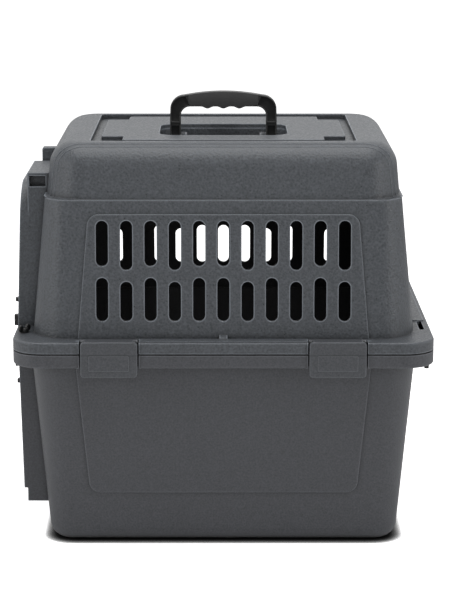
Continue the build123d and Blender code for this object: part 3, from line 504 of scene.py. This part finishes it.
def handle_sections():
    """Outer and inner points of half the handle, from its left foot to the middle of the grip."""
    sections = []
    elbow_out = (-handle_half + handle_outer_round, handle_shoulder - handle_outer_round)
    elbow_in = (-handle_inner + handle_inner_round, grip_under - handle_inner_round)
    leg_heights = (handle_foot, handle_foot + foot_length, rib_height - rib_half, rib_height + rib_half,
                   elbow_in[1])
    for height in leg_heights:
        sections.append(((-handle_half, height), (-handle_inner, height)))
    for index in range(1, elbow_steps + 1):
        bend = math.pi / 2 * index / elbow_steps
        outer = (elbow_out[0] - handle_outer_round * math.cos(bend),
                 elbow_out[1] + handle_outer_round * math.sin(bend))
        inner = (elbow_in[0] - handle_inner_round * math.cos(bend),
                 elbow_in[1] + handle_inner_round * math.sin(bend))
        sections.append((outer, inner))
    start_out, start_in = sections[-1]
    for index in range(1, grip_steps + 1):
        share = index / grip_steps
        outer_x = start_out[0] * (1 - share)
        inner_x = start_in[0] * (1 - share)
        crown = handle_crown * (1 - (outer_x / start_out[0]) ** 2)
        scallop = 0.0
        for bump_place in (-finger_pitch, 0.0, finger_pitch):
            reach = abs(inner_x - bump_place) / finger_reach
            if reach < 1.0:
                scallop = max(scallop, finger_bump * (0.5 + 0.5 * math.cos(math.pi * reach)))
        sections.append(((outer_x, start_out[1] + crown), (inner_x, grip_under - scallop)))
    return sections


def model_handle():
    """The carrying handle: a bail with hollowed legs, a rib in each leg and a scalloped grip."""
    begin_piece()
    sections = handle_sections()
    first_out, first_in = sections[0]
    width = first_in[0] - first_out[0]
    middle = ((first_out[0] + first_in[0]) / 2, 0.0, first_out[1])
    bpy.ops.mesh.primitive_plane_add(size=1.0, location=middle)
    piece = bpy.context.object
    piece.name = "handle_bail"
    bpy.ops.transform.resize(value=(width, handle_thickness, 1.0), center_override=middle)
    bpy.ops.object.transform_apply(location=True, rotation=True, scale=True)
    bpy.ops.object.mode_set(mode="EDIT")
    bpy.ops.mesh.select_all(action="SELECT")
    angle = 0.0
    for outer, inner in sections[1:]:
        new_middle = ((outer[0] + inner[0]) / 2, 0.0, (outer[1] + inner[1]) / 2)
        new_width = math.dist(outer, inner)
        new_angle = math.atan2(outer[1] - inner[1], inner[0] - outer[0])
        step = [new - old for new, old in zip(new_middle, middle)]
        extrude_section(step, new_middle, angle, new_width / width, -new_angle)
        middle, width, angle = new_middle, new_width, new_angle
    bpy.ops.mesh.delete(type="ONLY_FACE")
    bpy.ops.object.mode_set(mode="OBJECT")
    mirror = piece.modifiers.new("other_half", "MIRROR")
    mirror.use_axis[0] = True
    mirror.merge_threshold = 0.0002
    bpy.ops.object.modifier_apply(modifier="other_half")
    bpy.ops.object.mode_set(mode="EDIT")
    bpy.ops.mesh.select_all(action="SELECT")
    bpy.ops.mesh.normals_make_consistent(inside=False)
    for low, high in ((handle_foot + 0.001, rib_height - 0.0005), (rib_height + 0.0005, 1.0)):
        for side in (-1, 1):
            def on_leg(centre, normal, low=low, high=high, side=side):
                return normal.y * side > 0.9 and low < centre.z < high and abs(centre.x) > grip_half_length
            for half in (-1, 1):
                select_faces(piece, lambda c, n: on_leg(c, n) and c.x * half > 0)
                bpy.ops.mesh.inset(thickness=leg_rim, depth=0.0, use_boundary=True)
                bpy.ops.mesh.inset(thickness=0.0002, depth=-leg_hollow, use_boundary=True)
    bpy.ops.object.mode_set(mode="OBJECT")
    round_edges = piece.modifiers.new("round_edges", "BEVEL")
    round_edges.width = handle_edge
    round_edges.segments = 3
    round_edges.limit_method = "ANGLE"
    round_edges.angle_limit = math.radians(50)
    round_edges.harden_normals = False
    bpy.ops.object.modifier_apply(modifier="round_edges")
    bpy.ops.object.shade_smooth_by_angle(angle=math.radians(40))
    return piece


def wing_lobe(place, turn, side):
    """One rounded lobe of a wing nut."""
    reach = nut_lobe_reach * side
    lobe_place = (place[0] + reach * math.sin(turn), place[1] + reach * math.cos(turn),
                  flange_top + nut_lobe_height)
    begin_piece()
    bpy.ops.mesh.primitive_cylinder_add(vertices=20, radius=nut_lobe_radius, depth=nut_lobe_thickness,
                                        location=lobe_place, rotation=(math.pi / 2, 0.0, math.pi / 2 - turn))
    lobe = bpy.context.object
    bpy.ops.object.transform_apply(location=True, rotation=True, scale=True)
    bpy.ops.object.mode_set(mode="EDIT")
    bpy.ops.mesh.select_all(action="SELECT")
    bpy.ops.transform.resize(value=(1.0, 1.0, nut_lobe_stretch), center_override=lobe_place)
    bpy.ops.object.mode_set(mode="OBJECT")
    return lobe


def model_wing_nuts():
    """Two wing nuts with a round hub and two rounded lobes each."""
    parts = []
    for side in (-1, 1):
        place = (-bolt_x, side * bolt_y)
        begin_piece()
        bpy.ops.mesh.primitive_cone_add(vertices=32, radius1=nut_radius, radius2=nut_radius * nut_taper,
                                        depth=nut_height,
                                        location=(place[0], place[1], flange_top + nut_height / 2))
        bpy.ops.object.transform_apply(location=True, rotation=True, scale=True)
        parts.append(bpy.context.object)
        for lobe_side in (-1, 1):
            parts.append(wing_lobe(place, wing_turn, lobe_side))
    begin_piece()
    for part in parts:
        part.select_set(True)
    bpy.context.view_layer.objects.active = parts[0]
    bpy.ops.object.join()
    piece = bpy.context.object
    piece.name = "wing_nut_pair"
    soften = piece.modifiers.new("soften", "BEVEL")
    soften.width = nut_edge
    soften.segments = 2
    bpy.ops.object.modifier_apply(modifier="soften")
    bpy.ops.object.shade_smooth_by_angle(angle=math.radians(45))
    return piece


def show_piece(piece, node_name, body_name, material):
    """Puts a modelled piece in the place of its CAD node, with its finish."""
    piece.data.materials.clear()
    piece.data.materials.append(material)
    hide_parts(node_name)
    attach(piece, body_name)


bpy.context.scene.view_settings.view_transform = "Standard"
aim_camera()
studio_world()
grain_group = moulded_grain_group()
edge_highlight_group = painted_edge_highlight_group()
cabin_shade_group = cabin_shade_mask_group()
crevice_shade_group = painted_crevice_shade_group()

# Each plastic gets painted edge highlights and painted shade in gaps, grooves and along the flange seam; on
# the clips the seam shade is faint.
upper_plastic = moulded_plastic(
    "upper_plastic", (0.055, 0.06, 0.067), roughness=0.43, grain_size=0.0027, grain_depth=0.0006, speckle=1.2,
    edge_highlight_strength=0.9, edge_highlight_tone=0.2)
lower_plastic = moulded_plastic(
    "lower_plastic", (0.05, 0.052, 0.058), roughness=0.46, grain_size=0.0022, grain_depth=0.0002, speckle=1.0,
    edge_highlight_strength=0.85, edge_highlight_tone=0.17)
clip_plastic = moulded_plastic(
    "clip_plastic", (0.051, 0.054, 0.06), roughness=0.42, grain_size=0.0022, grain_depth=0.0001, speckle=1.0,
    edge_highlight_strength=0.6, edge_highlight_tone=0.16, seam_shade=0.75)
black_plastic = moulded_plastic(
    "black_plastic", (0.006, 0.006, 0.006), roughness=0.4, grain_size=0.0008, grain_depth=0.0001, speckle=0.2,
    edge_highlight_strength=0.5, edge_highlight_tone=0.04)
handle_plastic = handle_finish()
plated_wire = drawn_metal("plated_wire", (0.62, 0.62, 0.63), 0.28)
pin_steel = drawn_metal("pin_steel", (0.5, 0.5, 0.51), 0.4)
dull_steel = drawn_metal("dull_steel", (0.2, 0.2, 0.21), 0.55)
dark_steel = drawn_metal("dark_steel", (0.035, 0.035, 0.037), 0.5)
spring_steel = spring_finish()

# Painted shade on the inward faces of both shells.
paint_cabin_shade(upper_plastic)
paint_cabin_shade(lower_plastic)

dress("upper_shell", upper_plastic)
dress("roof_panel", upper_plastic)
dress("lower_shell", lower_plastic)
for clip in ("clip_near_front", "clip_near_rear", "clip_far_front", "clip_far_rear"):
    dress(clip, clip_plastic)
for black_piece in ("latch_housing", "latch_slide_upper", "latch_slide_lower", "latch_guides", "rear_pegs"):
    dress(black_piece, black_plastic)
dress("door_grille", plated_wire)
for steel_piece in ("latch_rod_upper", "latch_rod_lower", "corner_bolts"):
    dress(steel_piece, pin_steel)
dress("handle_pins", dull_steel)
dress("clip_pins", dark_steel)
for spring in ("latch_spring_upper", "latch_spring_lower"):
    dress(spring, spring_steel)

show_piece(model_handle(), "handle", "handle", handle_plastic)
show_piece(model_wing_nuts(), "wing_nuts", "carrier", black_plastic)

add_softbox("top_light", (0.0, -0.2, 2.4), (0.0, 0.0, 0.3), (2.6, 2.4), 58.0)
add_softbox("front_light", (0.0, -3.0, 1.5), (0.0, 0.0, 0.3), (1.6, 1.2), 10.5)
add_softbox("left_light", (-2.4, 0.0, 0.9), (-0.2, -0.1, 0.3), (0.4, 1.4), 6.0)
add_softbox("right_light", (2.4, 0.0, 0.9), (0.2, -0.1, 0.3), (0.4, 1.4), 5.0)
add_softbox("left_front_light", (-2.3, -1.3, 0.9), (-0.1, -0.2, 0.3), (0.25, 1.2), 16.0)
add_softbox("right_front_light", (2.3, -1.3, 0.9), (0.1, -0.2, 0.3), (0.25, 1.2), 16.0)
pale_floor()
